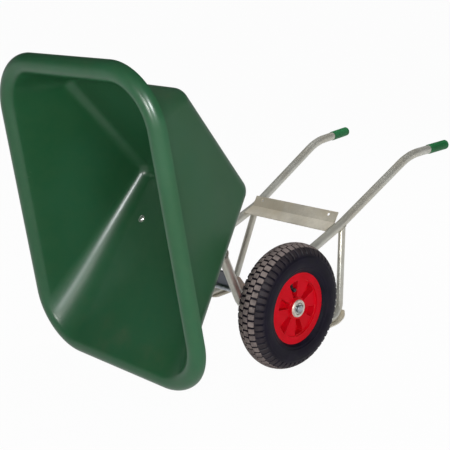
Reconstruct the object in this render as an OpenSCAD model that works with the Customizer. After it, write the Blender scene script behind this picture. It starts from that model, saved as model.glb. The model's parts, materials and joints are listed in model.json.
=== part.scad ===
// Two wheel tipping wheelbarrow, shown tipped: the tub has swung forward about
// the front crossbar until its front rim meets the ground.
// X points forward, Y to the left of the person pushing, Z up, ground at z = 0.

/* [Wheels] */
// Outer diameter of the tyre over its tread
tyre_d = 400; // [390:1:412]
// Width of the tyre across its sidewalls
tyre_w = 108; // [104:1:112]
// Distance between the centre planes of the two tyres
track_w = 760; // [740:1:800]
// Radius of the tyre's sidewalls in section
side_r = 52; // [50:0.5:53]
// Radius of the tyre's crown in section
crown_r = 62.5; // [60:0.5:66]
// Radius of the space for the inner tube in section
tube_ring_r = 40; // [38:0.5:41]
// Width of the tyre's beads on the wheel centre
bead_w = 12; // [10:0.5:14]
// Width of one row of tread blocks with its groove
row_w = 20.5; // [18:0.5:22]
// Depth of the tread grooves
tread_depth = 6; // [3:0.5:7]
// Blocks in each row of the tread
tread_blocks = 40; // [24:1:48]
// Width of the tread grooves
groove_w = 4; // [3:0.5:5]
// Wall of the inner tube
inner_tube_wall = 2.5; // [2:0.5:4]
// Diameter of the moulded wheel centre over its flanges
centre_d = 229; // [224:1:234]
// Diameter of the tyre seat on the wheel centre
seat_d = 202; // [198:1:206]
// Width of the wheel centre over its flanges
centre_w = 76; // [74:1:80]
// Thickness of the wheel centre's flanges and skins
centre_skin = 5; // [4:0.5:7]
// Drop of the wheel centre's face below its outer flange
face_drop = 7; // [4:0.5:10]
// Wedge pockets in the face of the wheel centre
pocket_n = 6; // [5:1:7]
// Angle that each wedge pocket spans
pocket_angle = 26; // [18:1:28]
// Depth of the wedge pockets
pocket_depth = 24; // [15:1:26]
// Diameter of the steel hub flange
hub_flange_d = 57; // [54:1:64]
// Thickness of the steel hub flange
hub_flange_t = 4; // [3:0.5:5]
// Outer diameter of the hub sleeve
hub_d = 46; // [44:1:50]
// Outer diameter of the wheel bushes
bush_d = 38; // [34:1:40]
// Length of each wheel bush
bush_len = 18; // [12:1:24]
// Distance that the bushes stand back from the hub face and stand proud behind it
bush_shift = 1; // [0.5:0.5:2]
// Diameter of the valve stem
valve_d = 11; // [9:0.5:13]
// Length of the valve stem that shows in its pocket
valve_len = 24; // [15:1:30]
// Gap between the valve stem and the bead of the tyre beside it
valve_shy = 2.5; // [1:0.5:5]

/* [Axle] */
// Diameter of the axle bar
axle_d = 25; // [20:0.5:28]
// Length of the axle that stands out past the tyre centre plane
axle_over = 48; // [47:0.5:49.5]
// Length of the collar that stops each wheel on the inside
collar_len = 12; // [8:1:20]
// Thickness of the axle washers
washer_t = 2; // [1.5:0.5:2.5]
// Gap between the axle washers and the hub recess around them
washer_shy = 2; // [1:0.5:3]
// Diameter of the split pins
split_pin_d = 4; // [3:0.5:4.5]

/* [Frame] */
// Outer diameter of the main tube
tube_d = 32; // [28:0.5:35]
// Wall of the main tube
tube_wall = 2.5; // [2:0.5:4]
// Distance between the two side tubes, centre to centre
tube_gap = 412; // [404:1:420]
// Height of the nose bend of the side tubes
nose_h = 158; // [154:1:162]
// Distance of the nose bend ahead of the axle
nose_x = 26; // [22:1:30]
// Radius of the nose bend
nose_r = 45; // [40:1:50]
// Height of the front crossbar that the tub tips about
pivot_h = 365; // [363:1:368]
// Distance of the front crossbar ahead of the axle
pivot_x = 114; // [112:1:116]
// Distance of the knee in the side tubes behind the axle
knee_back = 480; // [474:1:486]
// Height of the knee in the side tubes
knee_h = 324; // [321:1:327]
// Radius of the knee bend
knee_r = 200; // [150:5:250]
// Distance of the handle bend behind the axle
bend_back = 867; // [840:1:890]
// Height of the handle bend
bend_h = 510; // [490:1:530]
// Distance between the side tubes at the handle bend
bend_gap = 448; // [430:1:470]
// Radius of the handle bend
bend_r = 250; // [200:5:300]
// Distance of the grip ends behind the axle
tip_back = 1086; // [1070:1:1110]
// Height of the grip ends
tip_h = 517; // [505:1:530]
// Distance between the grip ends
tip_gap = 484; // [460:1:500]
// Length of each grip
grip_len = 106; // [90:1:130]
// Wall of each grip
grip_wall = 2; // [1.5:0.5:4]
// Thickness of the closed end of each grip
grip_end = 4; // [3.5:0.5:8]
// Radius of the rounded end of each grip
grip_round = 6; // [3:0.5:6.5]
// Length of the cross plate
plate_len = 392; // [384:1:400]
// Thickness of the cross plate
plate_t = 4; // [3:0.5:5]
// Width of the cross plate's lower flange
plate_low = 54; // [45:1:60]
// Width of the cross plate's upper flange
plate_up = 42; // [35:1:50]
// Distance of the cross plate's fold behind the axle
plate_back = 462; // [456:1:466]
// Diameter of the holes in the cross plate
plate_hole_d = 12; // [8:0.5:16]
// Distance between the holes in the cross plate
plate_hole_gap = 316; // [290:1:330]
// Distance of the holes from the cross plate's fold, up its upper flange
plate_hole_up = 28; // [24:1:31]
// Thickness of the gusset plates that carry the axle
gusset_t = 6; // [4:0.5:8]
// Width of the gusset plate around the axle
gusset_rim = 10; // [8:0.5:11]
// Length of the gusset plate along the side tube, behind the nose bend
gusset_back = 72; // [60:1:80]
// Length of the gusset plate up the riser, from the nose bend
gusset_up = 117; // [100:1:130]
// Height of the plate that stands on the axle
axle_plate_h = 78; // [60:1:84]
// Thickness of the plate that stands on the axle
axle_plate_t = 5; // [4:0.5:6]

/* [Legs] */
// Outer diameter of the leg tubes
leg_d = 25; // [22:0.5:28]
// Wall of the leg tubes
leg_wall = 2; // [1.5:0.5:3]
// Distance of the leg tops behind the axle
leg_top_back = 488; // [484:1:496]
// Distance of the heels of the legs behind the axle
heel_back = 402; // [390:1:415]
// Distance between the legs at the ground
heel_gap = 518; // [500:1:536]
// Radius of the bend at the foot of each leg
heel_r = 60; // [50:1:70]
// Distance of the front ends of the feet behind the axle
toe_back = 276; // [260:1:290]
// Width of the wear plate under each foot
shoe_w = 48; // [40:1:60]
// Thickness of the wear plate
shoe_t = 4; // [3:0.5:6]
// Angle that the wear plate follows round the heel
shoe_sweep = 54; // [45:1:60]
// Extra radius of the wear plate, which lets the splayed leg bend inside it
shoe_ease = 3; // [2:0.5:6]

/* [Tub] */
// Length of the tub over its rim
tub_len = 1006; // [990:1:1020]
// Width of the rim at the front
rim_front_w = 795; // [780:1:810]
// Width of the rim at the rear
rim_rear_w = 758; // [740:1:775]
// Radius of the rim's outer edge at the front corners
rim_front_r = 189; // [170:1:200]
// Radius of the rim's outer edge at the rear corners
rim_rear_r = 191; // [170:1:200]
// Radius of the rolled bead
bead_r = 31; // [26:0.5:33]
// Height of the skirt under the bead
skirt_h = 4; // [2:1:12]
// Wall of the tub
tub_wall = 5; // [4:0.5:7]
// Distance of the deepest edge behind the front rim
deep_back = 506; // [500:1:512]
// Depth of the deepest edge below the rim
deep_depth = 418; // [414:1:422]
// Width of the tub at the deepest edge
deep_w = 521; // [510:1:526]
// Radius along the deepest edge
deep_r = 50; // [45:1:60]
// Distance of the floor's rear edge behind the front rim
heel_s = 884; // [878:1:890]
// Depth of the floor's rear edge below the rim
heel_depth = 183; // [179:1:187]
// Width of the tub at the floor's rear edge
floor_rear_w = 579; // [570:1:586]
// Radius along the floor's rear edge
floor_rear_r = 50; // [45:1:60]
// Lean of the tipped rim past upright
tip_lean = 7.6; // [6:0.1:9]

/* [Hinge] */
// Distance between the two hinge straps
strap_gap = 330; // [310:1:336]
// Width of each hinge strap
strap_w = 40; // [30:1:44]
// Thickness of the hinge straps
strap_t = 5; // [4:0.5:6]
// Thickness of the moulded pads behind the straps
pad_t = 4.5; // [4:0.5:8]
// Distance of the strap bolt from the crossbar, along the wall
strap_bolt_off = 36; // [34:0.5:42]
// Diameter of the strap bolts
bolt_d = 10; // [8:0.5:12]
// Length of bolt past each strap nut
bolt_tail = 4; // [2:0.5:8]
// Thickness of the washers under the strap bolt heads
hinge_washer_t = 2; // [1.5:0.5:3]

/* [Clearances] */
// Radial clearance of a part that turns on a bar
run_gap = 0.08; // [0.05:0.01:0.1]
// Gap at welded, clamped and pushed-on joints
weld_gap = 0.05; // [0.02:0.01:0.1]
// Gap between faces that turn past each other
face_gap = 0.5; // [0.3:0.1:0.8]
// Radial clearance of a bolt in its hole
bolt_gap = 0.3; // [0.1:0.1:0.5]

/* [Hidden] */
$fn = 64;
hull_fn = 40;
rim_fn = 96;

GREEN = "#1f5c38";
ZINC = "#a9aca6";
STEEL = "#c9cbc9";
RED = "#d8141e";
BLACK = "#1c1d20";

tube_r = tube_d / 2;
leg_r = leg_d / 2;
axle_r = axle_d / 2;
wheel_h = tyre_d / 2;
chamfer = 2;
through = 1;
bend_swell = 0.05;
bend_lap = 1;

// Unit vector along v
function unit(v) = v / norm(v);
// Direction at angle a in the side view
function turned(a) = [cos(a), sin(a)];
// A point of the side view, on the plane y
function at(p, y) = [p.x, y, p.y];
// Point on the line from a to b at distance d from a
function along(a, b, d) = a + d * unit(b - a);
// Left-hand normal of the line from a to b
function normal(a, b) = let (u = unit(b - a)) [-u.y, u.x];
// Centre of the circle of radius r that rounds the corner b of a, b, c
function corner_centre(a, b, c, r) =
  let (u = unit(a - b), w = unit(c - b), half = acos(u * w) / 2)
  b + unit(u + w) * r / sin(half);

// Side view of the frame tube: x forward, z up, from the pivot to the grip
pivot = [pivot_x, pivot_h];
nose = [nose_x, nose_h];
knee = [-knee_back, knee_h];
bend = [-bend_back, bend_h];
tip = [-tip_back, tip_h];

// Side view of the tub in its own level frame: x is minus the distance behind
// the front rim and z is minus the depth
// The wall runs up by wall_rise into the skirt, which is wall_lap wider on each side
wall_lap = 0.3;
wall_rise = skirt_h / 2;
inset = 2 * bead_r - tub_wall;
wall_top = [-inset, -skirt_h];
deep = [-deep_back, -deep_depth];
heel = [-heel_s, -heel_depth];
// Direction of the front wall towards its deep edge, and its outward normal
wall_dir = unit(deep - wall_top);
wall_out = -normal(deep, wall_top);
wall_angle = atan2(-wall_out.x, -wall_out.y);

// The crossbar stands off the front wall by the strap and the moulded pad, and
// the front rim meets the ground when the tub is tipped
strap_bore_r = tube_r + run_gap;
strap_r = strap_bore_r + strap_t;
hinge_stand = strap_r + pad_t;
strap_foot = strap_bolt_off + strap_w / 2;
tip_angle = 90 + tip_lean;
rim_drop = pivot_h + bead_r * cos(tip_lean) - bead_r - bend_swell;
hinge_run = (rim_drop + sin(tip_lean) * (wall_top + hinge_stand * wall_out).y
    + cos(tip_lean) * (wall_top + hinge_stand * wall_out).x)
  / -(sin(tip_lean) * wall_dir.y + cos(tip_lean) * wall_dir.x);
hinge = wall_top + hinge_stand * wall_out + hinge_run * wall_dir;

// Height of the rear rim's bead and the ends of the part along x, which set
// the part's origin under the middle of its box
rear_bead = [bead_r - tub_len, 0] - hinge;
front_end = pivot_x + cos(tip_angle) * rear_bead.x + sin(tip_angle) * rear_bead.y + bead_r + bend_swell;
grip_r = tube_r + weld_gap + grip_wall;
grip_dir = unit(at(tip, tip_gap / 2) - at(bend, bend_gap / 2));
rear_end = -tip_back + grip_round * abs(grip_dir.x) - grip_round
  - (grip_r - grip_round) * sqrt(1 - grip_dir.x * grip_dir.x);
mid_x = (front_end + rear_end) / 2;

// Moves a piece from the axle's frame to the part's frame
module place() translate([-mid_x, 0, 0]) children();
// Puts a piece on the left or the right side
module on_side(s) if (s > 0) children(); else mirror([0, 1, 0]) children();
// Draws a side view in x and z as a plate of width w about the plane y
module upright(w, y = 0) translate([0, y + w / 2, 0]) rotate([90, 0, 0]) linear_extrude(w) children();
// Turns the z axis onto direction d
module aim(d) {
  u = unit(d);
  rotate([0, acos(u.z), atan2(u.y, u.x)]) children();
}
// Turns the x, y and z axes onto a, b and c
module align(a, b, c) multmatrix([[a.x, b.x, c.x, 0], [a.y, b.y, c.y, 0], [a.z, b.z, c.z, 0]]) children();
// Section of a tube
module ring(d, wall) difference() {
  circle(d = d);
  circle(d = d - 2 * wall);
}
// A straight ring with its axis on z
module collar(r_out, r_in, z0, z1) translate([0, 0, z0]) difference() {
  cylinder(r = r_out, h = z1 - z0);
  translate([0, 0, -through]) cylinder(r = r_in, h = z1 - z0 + 2 * through);
}

// Turn of path p at point i, and what a bend of radius r takes off each leg
function turn(p, i) = acos(unit(p[i] - p[i - 1]) * unit(p[i + 1] - p[i]));
function setback(p, r, i) = i == 0 || i == len(p) - 1 ? 0 : r[i] * tan(turn(p, i) / 2);
// A round bar along the points p with bends of radii r, a touch thicker at its bends
module bent_bar(p, r, d) {
  last = len(p) - 1;
  for (i = [0 : last - 1]) {
    u = unit(p[i + 1] - p[i]);
    a = i == 0 ? 0 : setback(p, r, i) - bend_lap;
    b = i == last - 1 ? 0 : setback(p, r, i + 1) - bend_lap;
    translate(p[i] + a * u) aim(u) cylinder(d = d, h = norm(p[i + 1] - p[i]) - a - b);
  }
  for (i = [1 : last - 1]) {
    u = unit(p[i] - p[i - 1]);
    w = unit(p[i + 1] - p[i]);
    m = unit(w - (w * u) * u);
    translate(p[i] - setback(p, r, i) * u + r[i] * m) align(-m, u, cross(-m, u))
      rotate_extrude(angle = turn(p, i)) translate([r[i], 0]) circle(d = d + 2 * bend_swell);
  }
}
// A tube along the points p, open at both ends
module bent_tube(p, r, d, wall) difference() {
  last = len(p) - 1;
  bent_bar(p, r, d);
  bent_bar([for (i = [0 : last]) i == 0 ? along(p[1], p[0], norm(p[1] - p[0]) + through)
    : i == last ? along(p[i - 1], p[i], norm(p[i] - p[i - 1]) + through) : p[i]], r, d - 2 * wall);
}
// A hexagon with width w across its flats
module hexagon(w) circle(d = w / cos(30), $fn = 6);

// Tub

// Corner centres of the rim: the bead, the wall and its inside share them
front_corner = [-rim_front_r, rim_front_w / 2 - rim_front_r];
rear_corner = [rim_rear_r - tub_len, rim_rear_w / 2 - rim_rear_r];
side_turn = 90 + asin((rim_front_r - rim_rear_r) / norm(front_corner - rear_corner))
  + atan2(front_corner.y - rear_corner.y, front_corner.x - rear_corner.x);
deep_centre = corner_centre(wall_top, deep, heel, deep_r);
heel_centre = corner_centre(deep, heel, [inset - tub_len, -skirt_h], floor_rear_r);

// Solid form of the tub, shrunk by g, up to height top inside the skirt
module tub_form(g, top) hull() {
  for (s = [-1, 1]) {
    for (c = [[front_corner, rim_front_r], [rear_corner, rim_rear_r]])
      translate([c[0].x, s * c[0].y, -skirt_h]) rotate([0, 0, 180 / rim_fn])
        cylinder(r = c[1] - inset - g, h = top, $fn = rim_fn);
    translate([deep_centre.x, s * (deep_w / 2 - deep_r), deep_centre.y])
      sphere(r = deep_r - g, $fn = hull_fn);
    translate([heel_centre.x, s * (floor_rear_w / 2 - floor_rear_r), heel_centre.y])
      sphere(r = floor_rear_r - g, $fn = hull_fn);
  }
}
// Section of the rolled bead about its centre, grown by g, outward is +x
module bead_section(g = 0) {
  intersection() {
    ring(2 * (bead_r + g), tub_wall + 2 * g);
    translate([-2 * bead_r, -skirt_h - g]) square([4 * bead_r, 2 * bead_r]);
  }
  translate([-bead_r - wall_lap - g, -skirt_h - g]) square([tub_wall + 2 * (wall_lap + g), skirt_h + g]);
}
// One straight stretch of bead from a to b, with its outside on the right
module bead_run(a, b) translate([a.x, a.y, 0])
  rotate([0, 0, atan2(b.y - a.y, b.x - a.x)]) rotate([90, 0, 90])
  translate([0, 0, -bend_lap]) linear_extrude(norm(b - a) + 2 * bend_lap) mirror([1, 0]) bead_section();
// The bead along the whole rim, a touch thicker at its corners
module bead() {
  rf = rim_front_r - bead_r;
  rr = rim_rear_r - bead_r;
  n = [cos(side_turn), sin(side_turn)];
  for (s = [0, 1]) mirror([0, s, 0]) {
    translate([front_corner.x, front_corner.y, 0])
      rotate_extrude(angle = side_turn) translate([rf, 0]) bead_section(bend_swell);
    translate([rear_corner.x, rear_corner.y, 0]) rotate([0, 0, side_turn])
      rotate_extrude(angle = 180 - side_turn) translate([rr, 0]) bead_section(bend_swell);
    bead_run(rear_corner + rr * n, front_corner + rf * n);
  }
  for (e = [[front_corner, rf], [rear_corner, -rr]]) {
    x = e[0].x + e[1];
    y = e[0].y * sign(e[1]);
    bead_run([x, y], [x, -y]);
  }
}
// Swings a piece of the tub, drawn about the hinge, to the tipped pose
module tipped() translate([pivot_x, 0, pivot_h]) rotate([0, tip_angle, 0]) children();
// Frame of a hinge strap: origin on the crossbar, +z to the wall, +x to the front rim
module strap_frame(s) tipped() rotate([0, wall_angle, 0]) translate([0, s * strap_gap / 2, 0]) children();
module bolt_line(s) strap_frame(s) translate([-strap_bolt_off, 0, 0]) children();
module tub() color(GREEN) difference() {
  union() {
    tipped() translate([-hinge.x, 0, -hinge.y]) {
      difference() {
        tub_form(0, wall_rise);
        tub_form(tub_wall, wall_rise + through);
      }
      bead();
    }
    for (s = [-1, 1]) strap_frame(s)
      translate([-strap_foot, -strap_w / 2, strap_r])
        cube([strap_foot + strap_r, strap_w, pad_t + tub_wall / 2]);
  }
  for (s = [-1, 1]) bolt_line(s) cylinder(d = bolt_d + 2 * bolt_gap, h = 2 * hinge_stand);
}

// Hinge

module hinge_strap(s) color(ZINC) strap_frame(s) rotate([90, 0, 0]) translate([0, 0, -strap_w / 2])
  difference() {
    linear_extrude(strap_w) difference() {
      union() {
        circle(r = strap_r);
        translate([-strap_foot, strap_bore_r]) square([strap_foot, strap_t - weld_gap]);
        translate([-strap_foot, strap_bore_r - strap_t]) square([strap_foot, strap_t + weld_gap]);
      }
      circle(r = strap_bore_r);
    }
    translate([-strap_bolt_off, 0, strap_w / 2]) rotate([-90, 0, 0])
      cylinder(d = bolt_d + 2 * bolt_gap, h = 2 * strap_r);
  }
nut_h = 0.8 * bolt_d;
nut_w = 1.7 * bolt_d;
head_d = 1.9 * bolt_d;
head_h = 0.5 * bolt_d;
head_dome = 1.2 * bolt_d;
washer_d = 2.6 * bolt_d;
nut_seat = strap_bore_r - strap_t;
wall_in = hinge_stand + tub_wall;
head_seat = wall_in + hinge_washer_t + weld_gap;
module hinge_bolts() color(STEEL) for (s = [-1, 1]) bolt_line(s) {
  shank = nut_seat - nut_h - bolt_tail;
  translate([0, 0, shank]) cylinder(d = bolt_d, h = head_seat + head_h / 2 - shank);
  translate([0, 0, head_seat]) intersection() {
    cylinder(d = head_d, h = head_h);
    translate([0, 0, head_h - head_dome]) sphere(r = head_dome);
  }
}
module hinge_washers() color(STEEL) for (s = [-1, 1]) bolt_line(s)
  collar(washer_d / 2, bolt_d / 2 + bolt_gap, wall_in + weld_gap, wall_in + hinge_washer_t);
module hinge_nuts() color(STEEL) for (s = [-1, 1]) bolt_line(s)
  translate([0, 0, nut_seat - weld_gap - nut_h]) linear_extrude(nut_h) difference() {
    hexagon(nut_w);
    circle(d = bolt_d + 2 * weld_gap);
  }

// Frame

module side_tube(s) color(ZINC) on_side(s) difference() {
  y = tube_gap / 2;
  end = at(tip, tip_gap / 2) - (grip_end + weld_gap) * grip_dir;
  bent_tube([at(pivot, y), at(nose, y), at(knee, y), at(bend, bend_gap / 2), end],
    [0, nose_r, knee_r, bend_r, 0], tube_d, tube_wall);
  crossbar_line(tube_r + weld_gap, 2 * tube_r);
}
// A bar on the crossbar's line that reaches past the side tubes by over at each end
module crossbar_line(r, over) translate([pivot_x, 0, pivot_h]) rotate([90, 0, 0])
  cylinder(r = r, h = tube_gap + tube_d + 2 * over, center = true);
module front_crossbar() color(ZINC) difference() {
  crossbar_line(tube_r, 0);
  crossbar_line(tube_r - tube_wall, through);
}
// Slope of the side tubes under the tub, and of the tub's rear wall when it rests there
tube_slope = atan2(knee.y - nose.y, nose.x - knee.x);
floor_slope = atan2(heel.y - deep.y, deep.x - heel.x);
rear_slope = atan2(-heel.y - skirt_h, heel.x + tub_len - inset);
plate_lean = tube_slope + rear_slope - floor_slope;
// The plate's ends rest on the inner shoulders of the side tubes
plate_inset = max(0, (tube_gap - plate_len) / 2);
plate_seat = sqrt(tube_r * tube_r - plate_inset * plate_inset) + weld_gap;
plate_fold = let (u = unit(knee - nose))
  nose + u * (plate_back + nose.x) / -u.x + normal(knee, nose) * plate_seat;
// The plate is one folded strip, drawn in the side view about its fold
module cross_plate() color(ZINC) translate([plate_fold.x, 0, plate_fold.y]) difference() {
  low = turned(-tube_slope);
  low_out = turned(90 - tube_slope);
  up = turned(180 - plate_lean);
  up_out = turned(90 - plate_lean);
  upright(plate_len) polygon([[0, 0], plate_low * low, plate_low * low + plate_t * low_out,
    plate_t * (low_out + up_out) / (1 + low_out * up_out), plate_up * up + plate_t * up_out, plate_up * up]);
  for (s = [-1, 1]) rotate([0, plate_lean - 180, 0])
    translate([plate_hole_up, s * plate_hole_gap / 2, -plate_t - through])
      cylinder(d = plate_hole_d, h = plate_t + 2 * through);
}
module grip(s) color(GREEN) on_side(s) translate(at(tip, tip_gap / 2)) aim(-grip_dir) difference() {
  rotate_extrude() {
    translate([0, grip_round]) square([grip_r, grip_len - grip_round]);
    square([grip_r - grip_round, grip_len / 2]);
    translate([grip_r - grip_round, grip_round]) circle(r = grip_round);
  }
  translate([0, 0, grip_end]) cylinder(r = tube_r + weld_gap, h = grip_len);
}

// Legs

foot_h = leg_r + bend_swell + shoe_t + weld_gap;
cope_len = 4 * tube_d;
leg_top = knee + (bend - knee) * (leg_top_back - knee_back) / (bend_back - knee_back);
module leg(s) color(ZINC) on_side(s) difference() {
  heel_point = [-heel_back, heel_gap / 2, foot_h];
  toe_point = [-toe_back, heel_gap / 2, foot_h];
  bent_tube([at(leg_top, tube_gap / 2), heel_point, toe_point], [0, heel_r, 0], leg_d, leg_wall);
  translate(at(knee, tube_gap / 2)) aim(at(bend - knee, (bend_gap - tube_gap) / 2))
    cylinder(r = tube_r + weld_gap, h = cope_len, center = true);
  translate(at(knee, tube_gap / 2)) aim(at(nose - knee, 0)) cylinder(r = tube_r + weld_gap, h = cope_len);
}
// Wear plate: flat under the foot, then up round the heel, with rounded corners
shoe_r = heel_r + foot_h + shoe_ease;
heel_turn = atan2(leg_top.y - foot_h, leg_top_back - heel_back);
shoe_bend = heel_r * tan(heel_turn / 2) - heel_back;
shoe_rear = shoe_bend - shoe_r * sin(shoe_sweep);
module foot_plate(s) color(ZINC) on_side(s) intersection() {
  upright(shoe_w, heel_gap / 2) {
    translate([shoe_bend, 0]) square([-toe_back - shoe_bend, shoe_t]);
    translate([shoe_bend, shoe_r]) intersection() {
      ring(2 * shoe_r, shoe_t);
      polygon([[0, 0], [0, -3 * shoe_r], -3 * shoe_r * [sin(shoe_sweep), cos(shoe_sweep)]]);
    }
  }
  linear_extrude(shoe_r) {
    toe_end = -toe_back - shoe_w / 2;
    rear_end = shoe_rear + shoe_w / 2;
    for (x = [toe_end, rear_end]) translate([x, heel_gap / 2]) circle(d = shoe_w);
    translate([rear_end, (heel_gap - shoe_w) / 2]) square([toe_end - rear_end, shoe_w]);
  }
}

// Axle

module on_axle() translate([0, 0, wheel_h]) rotate([-90, 0, 0]) children();
module axle() color(ZINC) on_axle() difference() {
  half = track_w / 2 + axle_over;
  rotate_extrude() polygon([[0, -half], [axle_r - chamfer, -half], [axle_r, chamfer - half],
    [axle_r, half - chamfer], [axle_r - chamfer, half], [0, half]]);
  for (s = [-1, 1]) translate([0, 0, s * pin_at]) rotate([90, 0, 0])
    cylinder(d = split_pin_d + 2 * weld_gap, h = 2 * axle_d, center = true);
}
// Side view of a gusset plate: it fills the nose bend and carries the axle
module axle_gusset(s) color(ZINC) on_side(s)
  upright(gusset_t, tube_gap / 2 - tube_r - weld_gap - gusset_t / 2) difference() {
    hub = [0, wheel_h];
    union() {
      polygon([hub, along(nose, knee, gusset_back), nose, along(nose, pivot, gusset_up)]);
      translate(hub) circle(r = axle_r + gusset_rim);
    }
    translate(hub) circle(r = axle_r + weld_gap);
  }
// The plate on the axle stands between the gussets, parallel to the front wall
// of the tub when that lies back on the frame
axle_plate_lean = 90 + wall_angle + tube_slope - floor_slope;
axle_plate_len = tube_gap - tube_d - 2 * (gusset_t + 2 * weld_gap);
module axle_plate() color(ZINC) translate([0, 0, wheel_h]) rotate([0, axle_plate_lean, 0])
  translate([-axle_plate_t / 2, -axle_plate_len / 2, axle_r + weld_gap])
    cube([axle_plate_t, axle_plate_len, axle_plate_h]);
bush_in = centre_w / 2 + bush_shift;
module axle_collars() color(ZINC) on_axle() for (s = [0, 1]) mirror([0, 0, s])
  translate([0, 0, track_w / 2 - bush_in - face_gap])
    collar(bush_d / 2, axle_r + weld_gap, -collar_len, 0);
bush_out = centre_w / 2 - bush_shift;
washer_at = bush_out + face_gap;
pin_head_r = 0.7 * split_pin_d;
pin_at = track_w / 2 + washer_at + washer_t + face_gap / 2 + pin_head_r;
washer_r = bush_d / 2 - washer_shy;
module axle_washers() color(STEEL) on_axle() for (s = [0, 1]) mirror([0, 0, s])
  translate([0, 0, track_w / 2]) collar(washer_r, axle_r + weld_gap, washer_at, washer_at + washer_t);
module split_pins() color(STEEL) on_axle() for (s = [-1, 1]) translate([0, 0, s * pin_at]) {
  rotate([90, 0, 0]) cylinder(d = split_pin_d, h = 2 * (axle_r + pin_head_r), center = true);
  translate([0, -axle_r - pin_head_r - weld_gap, 0]) sphere(r = pin_head_r);
}

// Wheels

// Frame of a wheel: origin at its centre, +z to the outside, valve pocket on +x
valve_turn = 83;
module wheel_frame(s) translate([0, s * track_w / 2, wheel_h]) rotate([-90 * s, 0, 0])
  rotate([0, 0, -s * valve_turn]) children();
seat_r = seat_d / 2;
centre_r = centre_d / 2;
half_w = centre_w / 2;
tyre_mid_r = (seat_r + wheel_h) / 2;
// Radius of the tread at distance z from the tyre's centre plane
function crown_at(z) = wheel_h - crown_r + sqrt(crown_r * crown_r - z * z);
// Section of the tyre: r outwards on x, axle direction on y
module tyre_section() difference() {
  intersection() {
    union() for (s = [-1, 1]) translate([tyre_mid_r, s * (tyre_w / 2 - side_r)]) circle(r = side_r);
    translate([wheel_h - crown_r, 0]) circle(r = crown_r);
    translate([seat_r + weld_gap, -tyre_w]) square([wheel_h, 2 * tyre_w]);
  }
  translate([tyre_mid_r, 0]) circle(r = tube_ring_r);
  translate([0, bead_w - half_w]) square([tyre_mid_r - tube_ring_r / 2, 2 * (half_w - bead_w)]);
  for (s = [0, 1]) mirror([0, s]) translate([0, half_w - centre_skin - weld_gap])
    square([centre_r + weld_gap, tyre_w]);
  for (z = row_w * [-1.5, -0.5, 0.5, 1.5])
    translate([crown_at(z) - tread_depth, z - groove_w / 2]) square([tyre_w, groove_w]);
}
// Cuts between the blocks: one across the middle rows and one down each shoulder
shoulder_z = 1.5 * row_w;
module tread_cut() {
  translate([wheel_h - tread_depth, -groove_w / 2, -shoulder_z]) cube([tyre_w, groove_w, 2 * shoulder_z]);
  for (s = [0, 1]) mirror([0, 0, s])
    translate([crown_at(shoulder_z) - 2 * tread_depth, -groove_w / 2, shoulder_z])
      cube([tyre_w, groove_w, tyre_w]);
}
module tyre(s) color(BLACK) wheel_frame(s) difference() {
  rotate_extrude() tyre_section();
  for (i = [0 : tread_blocks - 1]) rotate([0, 0, (i + 0.5) * 360 / tread_blocks]) tread_cut();
}
module inner_tube(s) color(BLACK) wheel_frame(s) rotate_extrude() translate([tyre_mid_r, 0])
  ring(2 * (tube_ring_r - face_gap), inner_tube_wall);
// Wedge of the wheel centre between two radii
module wedge(r0, r1, angle) intersection() {
  difference() {
    circle(r = r1);
    circle(r = r0);
  }
  polygon([[0, 0], 2 * r1 * [cos(angle / 2), -sin(angle / 2)], 2 * r1 * [cos(angle / 2), sin(angle / 2)]]);
}
web_top = half_w - face_drop;
web_r = seat_r - 2 * centre_skin;
boss_r = hub_d / 2 + 2 * centre_skin;
boss_step = 1;
pocket_r = web_r - centre_skin / 2;
module wheel_centre(s) color(RED) wheel_frame(s) difference() {
  rotate_extrude() {
    difference() {
      translate([web_r, -half_w]) square([centre_r - web_r, centre_w]);
      translate([seat_r, centre_skin - half_w]) square([centre_r, centre_w - 2 * centre_skin]);
      translate([web_r - through, web_top]) polygon([[0, 0], [centre_skin, half_w], [0, half_w]]);
    }
    translate([boss_r, web_top - pocket_depth - centre_skin])
      square([web_r - boss_r, pocket_depth + centre_skin]);
    translate([hub_d / 2 + weld_gap, -half_w]) square([boss_r - hub_d / 2 - weld_gap, centre_w]);
  }
  for (i = [0 : pocket_n - 1]) rotate([0, 0, i * 360 / pocket_n]) {
    translate([0, 0, web_top - pocket_depth]) linear_extrude(centre_w)
      wedge(boss_r + boss_step, pocket_r, pocket_angle);
    rotate([0, 0, 180 / pocket_n]) translate([0, 0, web_top - centre_skin - centre_w])
      linear_extrude(centre_w) wedge(boss_r + centre_skin, pocket_r, pocket_angle);
  }
  valve_line(valve_d / 2 + weld_gap);
}
valve_z = half_w - bead_w - valve_d / 2 - valve_shy;
valve_cap_d = 0.8 * valve_d;
valve_lip = 3;
module valve_line(r) translate([pocket_r - valve_d, 0, valve_z]) rotate([0, 90, 0])
  cylinder(r = r, h = seat_r);
module valve(s) color(BLACK) wheel_frame(s) translate([0, 0, valve_z]) rotate([0, 90, 0]) {
  translate([0, 0, pocket_r - valve_len]) cylinder(d = valve_cap_d, h = valve_len);
  translate([0, 0, pocket_r - valve_len / 2])
    cylinder(d = valve_d, h = seat_r + valve_lip - pocket_r + valve_len / 2);
}
module wheel_hub(s) color(STEEL) wheel_frame(s) difference() {
  union() {
    translate([0, 0, -half_w]) cylinder(d = hub_d, h = centre_w + hub_flange_t / 2);
    translate([0, 0, half_w + weld_gap])
      cylinder(d1 = hub_flange_d, d2 = hub_flange_d - 2 * chamfer, h = hub_flange_t);
  }
  translate([0, 0, -centre_w]) cylinder(d = bush_d + 2 * weld_gap, h = 2 * centre_w);
}
module bush(s, z) color(BLACK) wheel_frame(s) collar(bush_d / 2, axle_r + run_gap, z, z + bush_len);

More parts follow.
